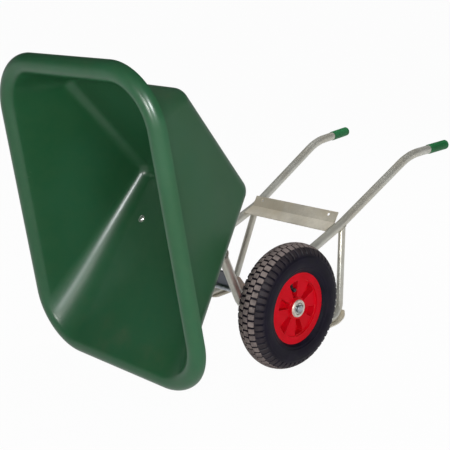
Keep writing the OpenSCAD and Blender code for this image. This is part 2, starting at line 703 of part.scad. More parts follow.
place() tub();
place() hinge_strap(1);  // hinge_strap_left
place() hinge_strap(-1);  // hinge_strap_right
place() hinge_bolts();
place() hinge_washers();
place() hinge_nuts();
place() side_tube(1);  // side_tube_left
place() side_tube(-1);  // side_tube_right
place() front_crossbar();
place() cross_plate();
place() leg(1);  // leg_left
place() leg(-1);  // leg_right
place() foot_plate(1);  // foot_plate_left
place() foot_plate(-1);  // foot_plate_right
place() grip(1);  // grip_left
place() grip(-1);  // grip_right
place() axle();
place() axle_plate();
place() axle_gusset(1);  // axle_gusset_left
place() axle_gusset(-1);  // axle_gusset_right
place() axle_collars();
place() axle_washers();
place() split_pins();
place() tyre(1);  // tyre_left
place() tyre(-1);  // tyre_right
place() inner_tube(1);  // inner_tube_left
place() inner_tube(-1);  // inner_tube_right
place() wheel_centre(1);  // wheel_centre_left
place() wheel_centre(-1);  // wheel_centre_right
place() valve(1);  // valve_left
place() valve(-1);  // valve_right
place() wheel_hub(1);  // wheel_hub_left
place() wheel_hub(-1);  // wheel_hub_right
place() bush(1, bush_out - bush_len);  // bush_outer_left
place() bush(-1, bush_out - bush_len);  // bush_outer_right
place() bush(1, -bush_in);  // bush_inner_left
place() bush(-1, -bush_in);  // bush_inner_right
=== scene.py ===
"""Two wheel tipping wheelbarrow, shown tipped on its front rim."""

import json
import math

import bmesh
import bpy
import numpy as np
from mathutils import Matrix, Vector


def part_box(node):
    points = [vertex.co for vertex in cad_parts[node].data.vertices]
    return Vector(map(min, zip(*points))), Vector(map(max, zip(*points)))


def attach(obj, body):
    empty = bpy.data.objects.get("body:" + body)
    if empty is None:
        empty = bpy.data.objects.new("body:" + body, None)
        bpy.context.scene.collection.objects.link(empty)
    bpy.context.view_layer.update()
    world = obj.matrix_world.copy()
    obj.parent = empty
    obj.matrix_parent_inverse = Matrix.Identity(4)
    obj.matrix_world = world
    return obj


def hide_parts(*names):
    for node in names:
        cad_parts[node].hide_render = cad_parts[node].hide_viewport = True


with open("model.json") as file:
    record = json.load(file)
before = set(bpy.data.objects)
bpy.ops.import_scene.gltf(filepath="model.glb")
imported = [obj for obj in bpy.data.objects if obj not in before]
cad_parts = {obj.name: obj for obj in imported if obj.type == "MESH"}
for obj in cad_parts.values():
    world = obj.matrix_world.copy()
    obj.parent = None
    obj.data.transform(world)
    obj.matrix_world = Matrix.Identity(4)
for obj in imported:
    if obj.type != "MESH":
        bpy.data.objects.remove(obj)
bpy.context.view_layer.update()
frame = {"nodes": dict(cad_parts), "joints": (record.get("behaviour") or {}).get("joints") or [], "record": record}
nodes = frame["nodes"]
joints = {joint["name"]: joint for joint in frame["joints"]}
pivot = Vector(joints["tub_tip"]["pos_m"])
axle_x, wheel_y, axle_z = joints["wheel_left_spin"]["pos_m"]
SIDES = (("left", 1), ("right", -1))
SIGNS = (1, -1)
UP = np.array((0.0, 0.0, 1.0))
CROSSWAYS = Vector((0.0, 1.0, 0.0))

# Camera: its place from the ground under the axle's middle, and its turn, as the photograph shows them
CAMERA_FROM_AXLE = Vector((2.10838, 2.24315, 1.26819))
CAMERA_HEADING = math.radians(-134.668)
CAMERA_PITCH = math.radians(15.920)
CAMERA_ROLL = math.radians(-1.956)
FOCAL_PIXELS = 963.083
IMAGE_PIXELS = 450
SENSOR_MM = 36.0

# Tub, in its own level frame: x is 0 at the front rim and negative behind it, z is up from the bead's middle
TUB_LENGTH = 1.006
RIM_FRONT_WIDTH = 0.795
RIM_REAR_WIDTH = 0.758
RIM_FRONT_RADIUS = 0.189
RIM_REAR_RADIUS = 0.191
BEAD_RADIUS = 0.031
SKIRT_HEIGHT = 0.004
TUB_WALL = 0.005
WALL_INSET = 2 * BEAD_RADIUS - TUB_WALL
DEEP_EDGE = (-0.506, -0.418)
DEEP_WIDTH = 0.521
HEEL_EDGE = (-0.884, -0.183)
HEEL_WIDTH = 0.579
FLOOR_RADIUS = 0.050
FLARE_START = -0.141
FLARE_LEAST_SHARE = 0.2
TIP_ANGLE = math.radians(97.6)

# Steps of the tub's skin: round the rim, up the wall, over heel and balls, along the flare and the bead
TUB_DIRECTIONS = 256
TUB_LEVELS = 44
HEEL_LEVELS = 16
HEEL_ARC = (math.radians(28), math.radians(74))
BALL_STEPS = 33
FLARE_STEPS = 9
BEAD_STEPS = 20

# Hinge pads, moulded on the outside of the tub's front wall, in the straps' frame
PAD_TURN = math.radians(54.92)
STRAP_GAP = 0.330
PAD_LOW = Vector((-0.0560, -0.0200, 0.02110))
PAD_HIGH = Vector((0.0210, 0.0200, 0.02800))
PAD_ROUND = 0.0015
PAD_ROUND_STEPS = 3

# Side view of the frame, from the ground under the axle's middle: x forward and z up
TUBE_RADIUS = 0.016
TUBE_GAP = 0.412
NOSE = Vector((0.026, 0.158))
RISER_TOP = Vector((pivot.x - axle_x, pivot.z))
KNEE = (-0.480, 0.324)
BEND = (-0.867, 0.510)
BEND_GAP = 0.448
LEG_RADIUS = 0.0125
LEG_TOP = (-0.488, 0.327845)
LEG_HEEL = (-0.402, 0.01660)
LEG_HEEL_GAP = 0.518
AXLE_RADIUS = 0.0125
PLATE_FOLD = Vector((-0.458091, 0.330010))
PLATE_LOW = 0.054
PLATE_LENGTH = 0.392

# Gusset plates: the outline stays clear of the tub when it is lowered
GUSSET_OUTLINE = (
    (0.0718, 0.2657), (0.0340, 0.2640), (0.0190, 0.2575), (-0.0045, 0.2252), (-0.0155, 0.2140),
    (-0.0232, 0.2095), (-0.0300, 0.2050), (-0.0424, 0.1803), NOSE,
)
GUSSET_THICK = 0.006
GUSSET_GAP = 0.0001
GUSSET_SPOKES = 72
PARALLEL = 1e-12
SHARE_SLACK = 1e-9

# Weld beads, and how far along the tubes the gusset's weld starts and ends from the nose
WELD_RADIUS = 0.0026
WELD_SIDES = 8
WELD_END_SHARE = 0.4
RIPPLE_LENGTH = 0.0034
RIPPLE_STEPS = 3
RIPPLE_SWELL = 0.16
SADDLE_POINTS = 40
AXLE_WELD_POINTS = 24
GUSSET_WELD_START = 0.030
GUSSET_WELD_BACK = 0.072
GUSSET_WELD_UP = 0.117

# Tyre section: radii from the axle, and widths from the tyre's middle
TYRE_RADIUS = 0.200
TYRE_WIDTH = 0.108
SEAT_RADIUS = 0.101
CROWN_RADIUS = 0.0625
CROWN_MIDDLE = TYRE_RADIUS - CROWN_RADIUS
TYRE_BULGE = 0.48 * TYRE_WIDTH
TYRE_MIDDLE = (SEAT_RADIUS + TYRE_RADIUS) / 2
TYRE_BEAD = ((0.1040, 0.0300), (0.1130, 0.0325), (0.1135, 0.0385))
TYRE_WALL_RADII = np.linspace(0.1151, 0.1690, 34)
TYRE_SHOULDER_RADII = np.linspace(0.1715, 0.1770, 3)

# Moulded ridges round the tyre's walls: radius, height and width
TYRE_RIDGES = ((0.1215, 0.0012, 0.0022), (0.1300, 0.0010, 0.0016), (0.1620, 0.0008, 0.0014))

# Tread: rows of blocks, every second row moved on by half a pitch, and cuts by a share of the tread's depth
TREAD_DEPTH = 0.0060
TREAD_ROWS = (-0.0400, -0.0205, 0.0, 0.0205, 0.0400)
LAST_ROW = len(TREAD_ROWS) - 1
ROW_HALF = 0.0080
GROOVE_SLOPE = 0.0012
TREAD_EDGE = 0.0445
TREAD_PITCHES = 54
STEPS_PER_PITCH = 8
CUT_STEPS = 2
CUT_MIDDLE = Vector((0.150, 0.0))
INNER_CUT = 0.9
OUTER_CUT = 0.6

# Dust on the tread: how far below its surface it starts and is full, and where it thins towards the walls
DUST_START = 0.0036
DUST_FULL = 0.0010
DUST_THINS = (0.0285, 0.0330)
DUST_LEVELS = (1.0, 0.12)

# Bent end of the valve: distance from the axle, distance outwards, radius, and height of the cap's ribs
VALVE_TURN = math.radians(83.0)
VALVE_SIDES = 28
VALVE_PATH = (
    (0.0740, 0.0180, 0.0046, 0.0), (0.0690, 0.0182, 0.0048, 0.0), (0.0650, 0.0198, 0.0048, 0.0),
    (0.0622, 0.0228, 0.0048, 0.0), (0.0612, 0.0252, 0.0048, 0.0), (0.0611, 0.0254, 0.0062, 0.0),
    (0.0609, 0.0262, 0.0066, 0.0004), (0.0600, 0.0330, 0.0063, 0.0004), (0.0598, 0.0342, 0.0054, 0.0),
)

# Angles past which the edge between two faces stays sharp
PLAIN_CREASE = math.radians(40.0)
SHELL_CREASE = math.radians(50.0)
PLATE_CREASE = math.radians(30.0)
TREAD_CREASE = math.radians(35.0)
WELD_CREASE = math.radians(80.0)

# Points closer than the first are one point, and edges shorter than the second are dissolved
MERGE_DISTANCE = 1e-6
SLIVER_LENGTH = 1e-7

# Slow noise between these levels carries a finish from one tone or gloss to the other
SLOW_LOW = 0.3
SLOW_HIGH = 0.7


# Shader tools

def join(tree, value, socket):
    """Links an output to a socket, or writes a plain value to it."""
    if isinstance(value, bpy.types.NodeSocket):
        tree.links.new(value, socket)
    else:
        socket.default_value = value


def add(tree, kind, settings=None, **sockets):
    """Adds a shader node, sets its properties and its sockets, and links what is another node's output."""
    made = tree.nodes.new("ShaderNode" + kind)
    for name, value in (settings or {}).items():
        setattr(made, name, value)
    for name, value in sockets.items():
        plain = name.replace("_", " ").lower()
        socket = next(s for s in made.inputs if s.name.lower() == plain and s.enabled)
        join(tree, value, socket)
    return made


def math_node(tree, operation, a, b=0.0, clamp=False):
    """One arithmetic step."""
    made = add(tree, "Math", {"operation": operation, "use_clamp": clamp})
    join(tree, a, made.inputs[0])
    join(tree, b, made.inputs[1])
    return made.outputs[0]


def times(tree, a, b):
    """Product of two values."""
    return math_node(tree, "MULTIPLY", a, b)


def plus(tree, a, b, clamp=False):
    """Sum of two values."""
    return math_node(tree, "ADD", a, b, clamp)


def minus(tree, a, b, clamp=False):
    """First value less the second."""
    return math_node(tree, "SUBTRACT", a, b, clamp)


def weigh(tree, a, a_share, b, b_share):
    """Sum of two values, each by its share."""
    return plus(tree, times(tree, a, a_share), times(tree, b, b_share))


def length_of(tree, a, b):
    """Distance that two steps at right angles make."""
    return math_node(tree, "SQRT", plus(tree, times(tree, a, a), times(tree, b, b)))


def vector_node(tree, operation, a, b):
    """One arithmetic step on two vectors."""
    made = add(tree, "VectorMath", {"operation": operation})
    join(tree, a, made.inputs[0])
    join(tree, b, made.inputs[1])
    return made.outputs


def scaled(tree, vector, factor):
    """A vector times a number."""
    return add(tree, "VectorMath", {"operation": "SCALE"}, vector=vector, scale=factor).outputs[0]


def mix(tree, factor, a, b):
    """Mixes two colours."""
    made = add(tree, "Mix", {"data_type": "RGBA"})
    join(tree, factor, made.inputs[0])
    join(tree, a, made.inputs[6])
    join(tree, b, made.inputs[7])
    return made.outputs[2]


def mix_shaders(tree, factor, a, b):
    """Mixes two shaders."""
    made = add(tree, "MixShader")
    for index, item in enumerate((factor, a, b)):
        join(tree, item, made.inputs[index])
    return made.outputs[0]


def spread(tree, value, low, high, to_low=0.0, to_high=1.0):
    """Maps a value from low..high to a smooth step between two levels."""
    made = add(tree, "MapRange", {"interpolation_type": "SMOOTHSTEP"})
    for index, item in enumerate((value, low, high, to_low, to_high)):
        join(tree, item, made.inputs[index])
    return made.outputs[0]


def noise(tree, where, scale, detail, rough):
    """Cloudy noise, about 0.5 on average."""
    return add(tree, "TexNoise", vector=where, scale=scale, detail=detail, roughness=rough).outputs[0]


def place_of(tree):
    """The surface point in the part's own frame, which moves with its body."""
    return add(tree, "TexCoord").outputs["Object"]


def stretched(tree, where, factors, turn=(0.0, 0.0, 0.0)):
    """The surface point, turned and stretched along its axes."""
    return add(tree, "Mapping", vector=where, scale=factors, rotation=turn).outputs[0]


def rgb(red, green, blue):
    """A colour written as it shows, in 0 to 255, turned to light values."""
    def light(level):
        level /= 255
        return level / 12.92 if level <= 0.04045 else ((level + 0.055) / 1.055) ** 2.4
    return (light(red), light(green), light(blue), 1.0)


# Shared surface effects

def shared(name, inputs, outputs):
    """Starts a node group with named inputs and outputs."""
    tree = bpy.data.node_groups.new(name, "ShaderNodeTree")
    for label, level in inputs.items():
        socket = tree.interface.new_socket(label, in_out="INPUT", socket_type="NodeSocketFloat")
        socket.default_value = level
    for label in outputs:
        tree.interface.new_socket(label, in_out="OUTPUT", socket_type="NodeSocketFloat")
    given = tree.nodes.new("NodeGroupInput").outputs
    result = tree.nodes.new("NodeGroupOutput").inputs
    return tree, given, result


def build_grain():
    """Fine moulded or cast grain, and the slow unevenness under it."""
    tree, given, result = shared("fine grain", {"Scale": 900.0, "Slow Scale": 6.0}, ["Grain", "Slow"])
    where = place_of(tree)
    join(tree, noise(tree, where, given["Scale"], detail=4.0, rough=0.6), result["Grain"])
    join(tree, noise(tree, where, given["Slow Scale"], detail=2.0, rough=0.45), result["Slow"])
    return tree


def build_edge_wear_and_highlight():
    """Mask of outer edges, broken up by noise: worn edges on the grips and the zinc, a painted highlight along the
    wheel centre's edges.
    """
    tree, given, result = shared("edge wear", {"Radius": 0.002, "Patch Scale": 60.0}, ["Mask"])
    soft = add(tree, "Bevel", {"samples": 6}, radius=given["Radius"]).outputs[0]
    true = add(tree, "NewGeometry").outputs["Normal"]
    facing = vector_node(tree, "DOT_PRODUCT", soft, true)["Value"]
    edge = spread(tree, minus(tree, 1.0, facing), low=0.02, high=0.16)
    patch = noise(tree, place_of(tree), given["Patch Scale"], detail=4.0, rough=0.6)
    broken = spread(tree, patch, low=0.35, high=0.65)
    join(tree, times(tree, edge, broken), result["Mask"])
    return tree


def build_dust():
    """Mask of dust that settles on faces that look up, thicker in patches."""
    tree, given, result = shared("settled dust", {"Patch Scale": 9.0, "Cover": 0.5}, ["Mask"])
    normal = add(tree, "NewGeometry").outputs["Normal"]
    up = add(tree, "SeparateXYZ", vector=normal).outputs["Z"]
    lie = spread(tree, up, low=-0.2, high=0.9)
    where = place_of(tree)
    patch = noise(tree, where, given["Patch Scale"], detail=6.0, rough=0.62)
    speck = noise(tree, where, scale=420.0, detail=2.0, rough=0.5)
    mass = weigh(tree, patch, 0.75, speck, 0.25)
    start = minus(tree, 0.75, times(tree, given["Cover"], 0.5))
    end = plus(tree, start, 0.2)
    join(tree, times(tree, spread(tree, mass, start, end), lie), result["Mask"])
    return tree


def build_scuffs():
    """Mask of short thin scratches, scattered in a few directions."""
    tree, given, result = shared("scuffs", {"Density": 0.5, "Length Scale": 5.0}, ["Mask"])
    where = place_of(tree)
    total = 0.0
    for turn in ((0.3, 0.5, 0.2), (1.1, 0.2, 1.9), (0.2, 1.4, 0.8)):
        thin = stretched(tree, where, (1.0, 14.0, 14.0), turn)
        along = scaled(tree, thin, given["Length Scale"])
        mark = spread(tree, noise(tree, along, scale=3.0, detail=2.0, rough=0.4), low=0.74, high=0.79)
        total = math_node(tree, "MAXIMUM", total, mark)
    cloud = noise(tree, where, scale=7.0, detail=2.0, rough=0.5)
    patch = spread(tree, cloud, low=minus(tree, 0.85, given["Density"]), high=0.9)
    join(tree, times(tree, total, patch), result["Mask"])
    return tree


def build_spangle():
    """Zinc crystals of a hot dipped coat: a tone for each crystal and a soft cloud."""
    given_levels = {"Crystal Scale": 190.0, "Cloud Scale": 14.0}
    tree, given, result = shared("zinc spangle", given_levels, ["Crystal", "Cloud"])
    where = place_of(tree)
    stray = add(tree, "TexNoise", vector=where, scale=160.0).outputs["Color"]
    bent = vector_node(tree, "ADD", where, scaled(tree, stray, 0.004))[0]
    cells = add(tree, "TexVoronoi", vector=bent, scale=given["Crystal Scale"])
    tone = add(tree, "SeparateColor", color=cells.outputs["Color"]).outputs[0]
    join(tree, tone, result["Crystal"])
    join(tree, noise(tree, where, given["Cloud Scale"], detail=5.0, rough=0.6), result["Cloud"])
    return tree


GRAIN = build_grain()
EDGE_WEAR_AND_HIGHLIGHT = build_edge_wear_and_highlight()
DUST = build_dust()
SCUFFS = build_scuffs()
SPANGLE = build_spangle()


def effect(tree, group, **sockets):
    """Places a shared effect with its own values."""
    made = add(tree, "Group", {"node_tree": group})
    for name, value in sockets.items():
        join(tree, value, made.inputs[name.replace("_", " ").title()])
    return made.outputs


# Finishes

def finish(name, metallic=0.0, specular=0.5):
    """A new material with its shader's plain values."""
    made = bpy.data.materials.new(name)
    made.use_nodes = True
    shader = made.node_tree.nodes["Principled BSDF"]
    shader.inputs["Metallic"].default_value = metallic
    shader.inputs["Specular IOR Level"].default_value = specular
    return made, made.node_tree, shader.inputs


def tones(tree, grain, dark, light, low=SLOW_LOW, high=SLOW_HIGH):
    """Two tones that run slowly into each other over the surface."""
    return mix(tree, spread(tree, grain["Slow"], low, high), dark, light)


def gloss(tree, grain, smooth, dull):
    """Roughness that runs slowly between two levels over the surface."""
    return spread(tree, grain["Slow"], SLOW_LOW, SLOW_HIGH, smooth, dull)


def laid(tree, colour, over, mask, share):
    """A colour with another laid over it where a mask says, by that share."""
    return mix(tree, times(tree, mask, share), colour, over)


def coat(tree, sockets, colour, rough):
    """Leads a colour and a roughness to the shader."""
    tree.links.new(colour, sockets["Base Color"])
    tree.links.new(rough, sockets["Roughness"])


def bump(tree, sockets, height, strength, distance):
    """Raises the surface by a height."""
    raised = add(tree, "Bump", height=height, strength=strength, distance=distance)
    tree.links.new(raised.outputs[0], sockets["Normal"])


def tub_plastic(name, bloom, specular):
    """Bottle green moulded polyethylene: mottled, scuffed, with earth dust and a share of chalky bloom."""
    made, tree, sockets = finish(name, specular=specular)
    where = place_of(tree)
    grain = effect(tree, GRAIN, scale=700.0, slow_scale=3.2)
    colour = tones(tree, grain, rgb(30, 86, 51), rgb(36, 92, 59), low=0.35, high=0.65)
    cloud = noise(tree, where, scale=4.5, detail=4.0, rough=0.55)
    chalk = spread(tree, cloud, low=0.2, high=0.8, to_low=0.5 * bloom, to_high=bloom)
    colour = mix(tree, chalk, colour, rgb(92, 104, 92))
    mottle = spread(tree, noise(tree, where, scale=26.0, detail=5.0, rough=0.6), low=0.3, high=0.7)
    colour = laid(tree, colour, rgb(60, 96, 62), mottle, share=0.22)
    dust = effect(tree, DUST, patch_scale=5.0, cover=0.42)["Mask"]
    colour = laid(tree, colour, rgb(96, 92, 70), dust, share=0.30)
    scuff = effect(tree, SCUFFS, density=0.26, length_scale=5.0)["Mask"]
    colour = laid(tree, colour, rgb(150, 172, 150), scuff, share=0.45)
    clean = gloss(tree, grain, smooth=0.285, dull=0.33)
    coat(tree, sockets, colour, plus(tree, clean, times(tree, dust, 0.18), clamp=True))
    height = weigh(tree, grain["Grain"], 0.5, scuff, -0.6)
    bump(tree, sockets, height, strength=0.05, distance=0.0005)
    return made


def grip_vinyl():
    """Green dipped vinyl, a little dull, with paler worn edges."""
    made, tree, sockets = finish("grip_vinyl", specular=0.25)
    grain = effect(tree, GRAIN, scale=1100.0, slow_scale=22.0)
    colour = tones(tree, grain, rgb(34, 108, 60), rgb(48, 124, 76))
    wear_and_highlight = effect(tree, EDGE_WEAR_AND_HIGHLIGHT, radius=0.002, patch_scale=90.0)["Mask"]
    colour = laid(tree, colour, rgb(120, 170, 135), wear_and_highlight, share=0.35)
    coat(tree, sockets, colour, gloss(tree, grain, smooth=0.42, dull=0.58))
    bump(tree, sockets, grain["Grain"], strength=0.2, distance=0.0005)
    return made


def zinc_coat(name, metallic, light, dark, stain, stained, smooth, dull):
    """Hot dipped zinc: crystals, dull clouds, stained by that share, with brighter edges."""
    made, tree, sockets = finish(name, metallic)
    zinc = effect(tree, SPANGLE, crystal_scale=170.0, cloud_scale=13.0)
    cloud = spread(tree, zinc["Cloud"], low=0.25, high=0.75)
    shade = weigh(tree, zinc["Crystal"], 0.25, cloud, 0.75)
    colour = mix(tree, shade, dark, light)
    patch = noise(tree, place_of(tree), scale=8.0, detail=5.0, rough=0.6)
    colour = laid(tree, colour, stain, spread(tree, patch, low=0.42, high=0.68), stained)
    wear_and_highlight = effect(tree, EDGE_WEAR_AND_HIGHLIGHT, radius=0.0015, patch_scale=80.0)["Mask"]
    colour = laid(tree, colour, rgb(205, 205, 200), wear_and_highlight, share=0.5)
    rough = spread(tree, shade, low=0.2, high=0.8, to_low=smooth, to_high=dull)
    coat(tree, sockets, colour, minus(tree, rough, times(tree, wear_and_highlight, 0.12), clamp=True))
    grain = effect(tree, GRAIN, scale=520.0, slow_scale=70.0)
    height = weigh(tree, grain["Slow"], 0.7, grain["Grain"], 0.3)
    bump(tree, sockets, height, strength=0.05, distance=0.0008)
    return made


def bright_zinc(name, metallic, light, dark, smooth, dull):
    """Electroplated zinc on turned and pressed steel, with fine turning marks."""
    made, tree, sockets = finish(name, metallic)
    grain = effect(tree, GRAIN, scale=1500.0, slow_scale=90.0)
    colour = tones(tree, grain, dark, light)
    coat(tree, sockets, colour, gloss(tree, grain, smooth, dull))
    marks = stretched(tree, place_of(tree), (40.0, 2600.0, 40.0))
    turned = noise(tree, marks, scale=1.0, detail=2.0, rough=0.5)
    bump(tree, sockets, turned, strength=0.12, distance=0.0003)
    return made


def tread_tops(tree, where):
    """Mask of the tops of the tread's blocks, thinner towards the tyre's walls."""
    spot = add(tree, "SeparateXYZ", vector=where).outputs
    radius = length_of(tree, minus(tree, spot["X"], axle_x), minus(tree, spot["Z"], axle_z))
    across = minus(tree, math_node(tree, "ABSOLUTE", spot["Y"]), wheel_y)
    reach = length_of(tree, minus(tree, radius, CROWN_MIDDLE), across)
    top = spread(tree, reach, CROWN_RADIUS - DUST_START, CROWN_RADIUS - DUST_FULL)
    crown = spread(tree, math_node(tree, "ABSOLUTE", across), *DUST_THINS, *DUST_LEVELS)
    return times(tree, top, crown)


def tyre_rubber():
    """Black rubber, with pale dust on the tops of the tread and a faint film all over."""
    made, tree, sockets = finish("tyre_rubber", specular=0.14)
    where = place_of(tree)
    grain = effect(tree, GRAIN, scale=900.0, slow_scale=30.0)
    colour = tones(tree, grain, rgb(13, 10, 23), rgb(20, 16, 31))
    cloud = spread(tree, noise(tree, where, scale=22.0, detail=6.0, rough=0.65), low=0.3, high=0.66)
    worn = plus(tree, times(tree, cloud, 0.5), 0.4)
    dust = times(tree, tread_tops(tree, where), worn)
    colour = mix(tree, dust, colour, rgb(156, 142, 137))
    film = spread(tree, noise(tree, where, scale=12.0, detail=5.0, rough=0.6), low=0.45, high=0.75)
    colour = laid(tree, colour, rgb(92, 86, 90), film, share=0.07)
    clean = gloss(tree, grain, smooth=0.46, dull=0.58)
    coat(tree, sockets, colour, plus(tree, clean, times(tree, dust, 0.3), clamp=True))
    bump(tree, sockets, grain["Grain"], strength=0.25, distance=0.0006)
    return made


def plain_black(name, dark, light, smooth, dull):
    """Black rubber or nylon of the small pieces."""
    made, tree, sockets = finish(name, specular=0.4)
    grain = effect(tree, GRAIN, scale=1200.0, slow_scale=120.0)
    coat(tree, sockets, tones(tree, grain, dark, light), gloss(tree, grain, smooth, dull))
    bump(tree, sockets, grain["Grain"], strength=0.25, distance=0.0004)
    return made


def wheel_plastic():
    """Bright red moulded wheel centre, with pale edges that are a painted highlight, scuffs and a little settled
    dust.
    """
    made, tree, sockets = finish("wheel_plastic", specular=0.06)
    grain = effect(tree, GRAIN, scale=800.0, slow_scale=16.0)
    colour = tones(tree, grain, rgb(208, 8, 26), rgb(220, 12, 34))
    # The pale edges here are a painted highlight along the moulded edges, not wear.
    wear_and_highlight = effect(tree, EDGE_WEAR_AND_HIGHLIGHT, radius=0.0018, patch_scale=70.0)["Mask"]
    colour = laid(tree, colour, rgb(246, 120, 112), wear_and_highlight, share=0.4)
    scuff = effect(tree, SCUFFS, density=0.32, length_scale=16.0)["Mask"]
    colour = laid(tree, colour, rgb(240, 130, 120), scuff, share=0.3)
    dust = effect(tree, DUST, patch_scale=24.0, cover=0.35)["Mask"]
    colour = laid(tree, colour, rgb(150, 70, 60), dust, share=0.18)
    coat(tree, sockets, colour, gloss(tree, grain, smooth=0.28, dull=0.40))
    bump(tree, sockets, grain["Grain"], strength=0.12, distance=0.0005)
    return made


TUB_GREEN = tub_plastic("tub_plastic", bloom=0.04, specular=0.45)
TUB_OUTSIDE = tub_plastic("tub_plastic_outside", bloom=0.30, specular=0.14)
GRIP_GREEN = grip_vinyl()
TUBE_ZINC = zinc_coat(
    "galvanised_tube", metallic=0.5, light=rgb(222, 221, 211), dark=rgb(196, 194, 183),
    stain=rgb(198, 188, 166), stained=0.4, smooth=0.30, dull=0.38)
PLATE_ZINC = zinc_coat(
    "galvanised_plate", metallic=0.2, light=rgb(244, 236, 219), dark=rgb(214, 206, 188),
    stain=rgb(218, 203, 174), stained=0.6, smooth=0.34, dull=0.52)
AXLE_ZINC = bright_zinc(
    "axle_steel", metallic=1.0, light=rgb(186, 190, 194), dark=rgb(140, 146, 152), smooth=0.30, dull=0.44)
FASTENER_ZINC = bright_zinc(
    "zinc_fastener", metallic=1.0, light=rgb(222, 222, 216), dark=rgb(176, 176, 170), smooth=0.22, dull=0.36)
HUB_ZINC = bright_zinc(
    "hub_steel", metallic=0.45, light=rgb(222, 214, 202), dark=rgb(198, 190, 178), smooth=0.40, dull=0.54)
# Dark blue-grey zinc for the axle plate: painted shade for the shadow it stands in between the tub and the risers.
SHADED_AXLE_PLATE_ZINC = zinc_coat(
    "axle_plate_painted_shade", metallic=0.4, light=rgb(96, 102, 114), dark=rgb(62, 68, 80),
    stain=rgb(84, 76, 68), stained=0.3, smooth=0.40, dull=0.60)
WELD_METAL = zinc_coat(
    "weld_metal", metallic=0.5, light=rgb(196, 194, 184), dark=rgb(150, 148, 138),
    stain=rgb(160, 146, 122), stained=0.5, smooth=0.34, dull=0.50)
TYRE_BLACK = tyre_rubber()
TUBE_BLACK = plain_black("tube_rubber", rgb(14, 14, 17), rgb(30, 29, 30), smooth=0.47, dull=0.63)
BUSH_BLACK = plain_black("bush_plastic", rgb(24, 24, 27), rgb(40, 39, 40), smooth=0.37, dull=0.53)
WHEEL_RED = wheel_plastic()

SLOT_FINISH = {
    "tub_plastic": TUB_GREEN,
    "galvanised_tube": TUBE_ZINC,
    "galvanised_plate": PLATE_ZINC,
    "axle_steel": AXLE_ZINC,
    "zinc_fastener": FASTENER_ZINC,
    "hub_steel": HUB_ZINC,
    "grip_plastic": GRIP_GREEN,
    "tyre_rubber": TYRE_BLACK,
    "tube_rubber": TUBE_BLACK,
    "wheel_plastic": WHEEL_RED,
    "bush_plastic": BUSH_BLACK,
}


def dress_nodes():
    """Gives each CAD node the finish of its slot, and the axle plate a darker one that paints the shade it stands
    in.
    """
    for subpart in frame["record"]["subparts"]:
        mesh = nodes[subpart["node"]].data
        mesh.materials.clear()
        mesh.materials.append(SLOT_FINISH[subpart["material_slot"]])
    # The axle plate's dark finish is painted shade.
    nodes["axle_plate"].data.materials[0] = SHADED_AXLE_PLATE_ZINC


dress_nodes()


# Meshes

def show(name, data):
    """A new object in the scene."""
    made = bpy.data.objects.new(name, data)
    bpy.context.scene.collection.objects.link(made)
    return made


def shaded(name, shape, finish_of, crease):
    """An object made of a built shape, with smooth faces and sharp creases."""
    mesh = bpy.data.meshes.new(name)
    shape.to_mesh(mesh)
    shape.free()
    mesh.shade_smooth()
    mesh.set_sharp_from_angle(angle=crease)
    mesh.materials.append(finish_of)
    return show(name, mesh)


def piece(name, points, faces, finish_of, crease):
    """An object made of points and faces, with doubled points merged."""
    draft = bpy.data.meshes.new("draft")
    draft.from_pydata([tuple(point) for point in points], [], faces)
    shape = bmesh.new()
    shape.from_mesh(draft)
    bpy.data.meshes.remove(draft)
    bmesh.ops.remove_doubles(shape, verts=shape.verts, dist=MERGE_DISTANCE)
    bmesh.ops.dissolve_degenerate(shape, edges=shape.edges, dist=SLIVER_LENGTH)
    bmesh.ops.recalc_face_normals(shape, faces=shape.faces)
    return shaded(name, shape, finish_of, crease)


def loft(rings, closed):
    """Points and faces of a skin over equal rings; a closed skin joins its last ring to its first."""
    count = len(rings[0])
    points = [point for ring in rings for point in ring]
    faces = []
    for k in range(len(rings) if closed else len(rings) - 1):
        a = k * count
        b = (k + 1) % len(rings) * count
        for i in range(count):
            j = (i + 1) % count
            faces.append((a + i, a + j, b + j, b + i))
    return points, faces


def capped(rings):
    """Points and faces of a skin over equal rings, with a flat face on each end."""
    points, faces = loft(rings, False)
    count = len(rings[0])
    faces.append(tuple(range(count - 1, -1, -1)))
    faces.append(tuple(range(len(points) - count, len(points))))
    return points, faces


def turns(count):
    """Angles evenly round a circle."""
    return np.linspace(0, 2 * math.pi, count, endpoint=False)


def circle(centre, radius, across, rise, count):
    """Points evenly round a circle that lies in two directions."""
    return [centre + radius * (math.cos(a) * across + math.sin(a) * rise) for a in turns(count)]


# Tub

def rim_corner(x, width, radius, sign):
    """Centre and radius of one rounded corner of the rim."""
    return Vector((x, sign * (width / 2 - radius))), radius


def corner_centre(before, corner, after, radius):
    """Centre of the circle that rounds a corner of the side view."""
    a = (Vector(before) - Vector(corner)).normalized()
    b = (Vector(after) - Vector(corner)).normalized()
    return Vector(corner) + (a + b).normalized() * radius / math.sin(a.angle(b) / 2)


def floor_balls():
    """Centres of the balls that round the ends of the deep edge and of the heel edge."""
    front_top = (-WALL_INSET, -SKIRT_HEIGHT)
    rear_top = (WALL_INSET - TUB_LENGTH, -SKIRT_HEIGHT)
    deep = corner_centre(front_top, DEEP_EDGE, HEEL_EDGE, FLOOR_RADIUS)
    heel = corner_centre(DEEP_EDGE, HEEL_EDGE, rear_top, FLOOR_RADIUS)
    return [Vector((c.x, sign * (width / 2 - FLOOR_RADIUS), c.y))
            for c, width in ((deep, DEEP_WIDTH), (heel, HEEL_WIDTH)) for sign in SIGNS]


RIM_CORNERS = [
    rim_corner(x, width, radius, sign)
    for x, width, radius in (
        (-RIM_FRONT_RADIUS, RIM_FRONT_WIDTH, RIM_FRONT_RADIUS),
        (RIM_REAR_RADIUS - TUB_LENGTH, RIM_REAR_WIDTH, RIM_REAR_RADIUS),
    )
    for sign in SIGNS
]
FLOOR_BALLS = floor_balls()
DEEP_BALL = FLOOR_BALLS[0]
HEEL_BALL = FLOOR_BALLS[2]


